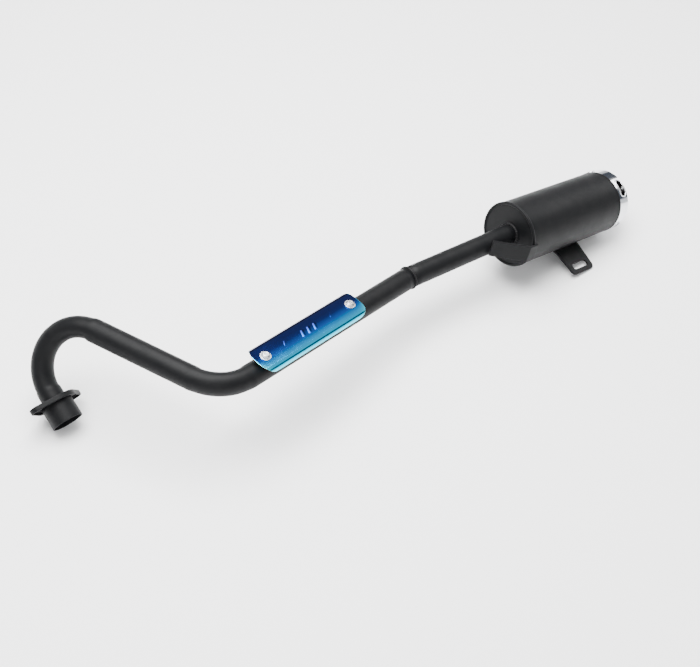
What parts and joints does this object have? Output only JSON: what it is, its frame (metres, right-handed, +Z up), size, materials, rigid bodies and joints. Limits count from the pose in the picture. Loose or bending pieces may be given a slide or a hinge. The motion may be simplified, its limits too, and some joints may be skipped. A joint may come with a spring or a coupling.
{
  "type": "racing exhaust system",
  "caption": "Bent black header pipe with a blue heat shield, a loose port flange, a packed round muffler with a chrome vented cover and tip, a slotted hanger tab and a side strap.",
  "frame": {"origin": "centre of the inlet mouth", "axes": "+Z up as the exhaust lies on a bench; +X along its greatest length, from the inlet end to the tail tip; +Y completes the right-handed set"},
  "size_m": [0.8907, 0.2052, 0.1216],
  "materials": {
    "black_paint": "satin high-temperature black paint",
    "blue_anodised": "bright blue, polished",
    "bright_steel": "bright zinc plate",
    "chrome_plate": "polished chrome",
    "stainless": "plain",
    "stainless_dark": "soot-darkened",
    "glass_wool": "matted fibre"
  },
  "bodies": {
    "exhaust": {"header_pipe": "black_paint", "inlet_sleeve": "black_paint", "tail_pipe": "black_paint", "shield_boss_front": "black_paint", "shield_boss_rear": "black_paint", "heat_shield": "blue_anodised", "shield_washer_front": "bright_steel", "shield_washer_rear": "bright_steel", "shield_screw_front": "bright_steel", "shield_screw_rear": "bright_steel", "canister_shell": "black_paint", "front_cap": "black_paint", "perforated_core": "stainless", "packing": "glass_wool", "rear_plate": "black_paint", "outlet_pipe": "stainless_dark", "cover_posts": "stainless", "tail_cover": "chrome_plate", "cover_screws": "bright_steel", "tip_ring": "chrome_plate", "tail_tip": "chrome_plate", "hanger_bracket": "black_paint", "tail_strap": "black_paint"},
    "flange": {"port_flange": "black_paint"}
  },
  "joints": [
    {"name": "flange_spin", "type": "hinge", "parent": "exhaust", "child": "flange", "pos_m": [-0.00552, 0.02445, 0.01357], "axis": [-0.1938, 0.8578, 0.4761], "continuous": true}
  ]
}
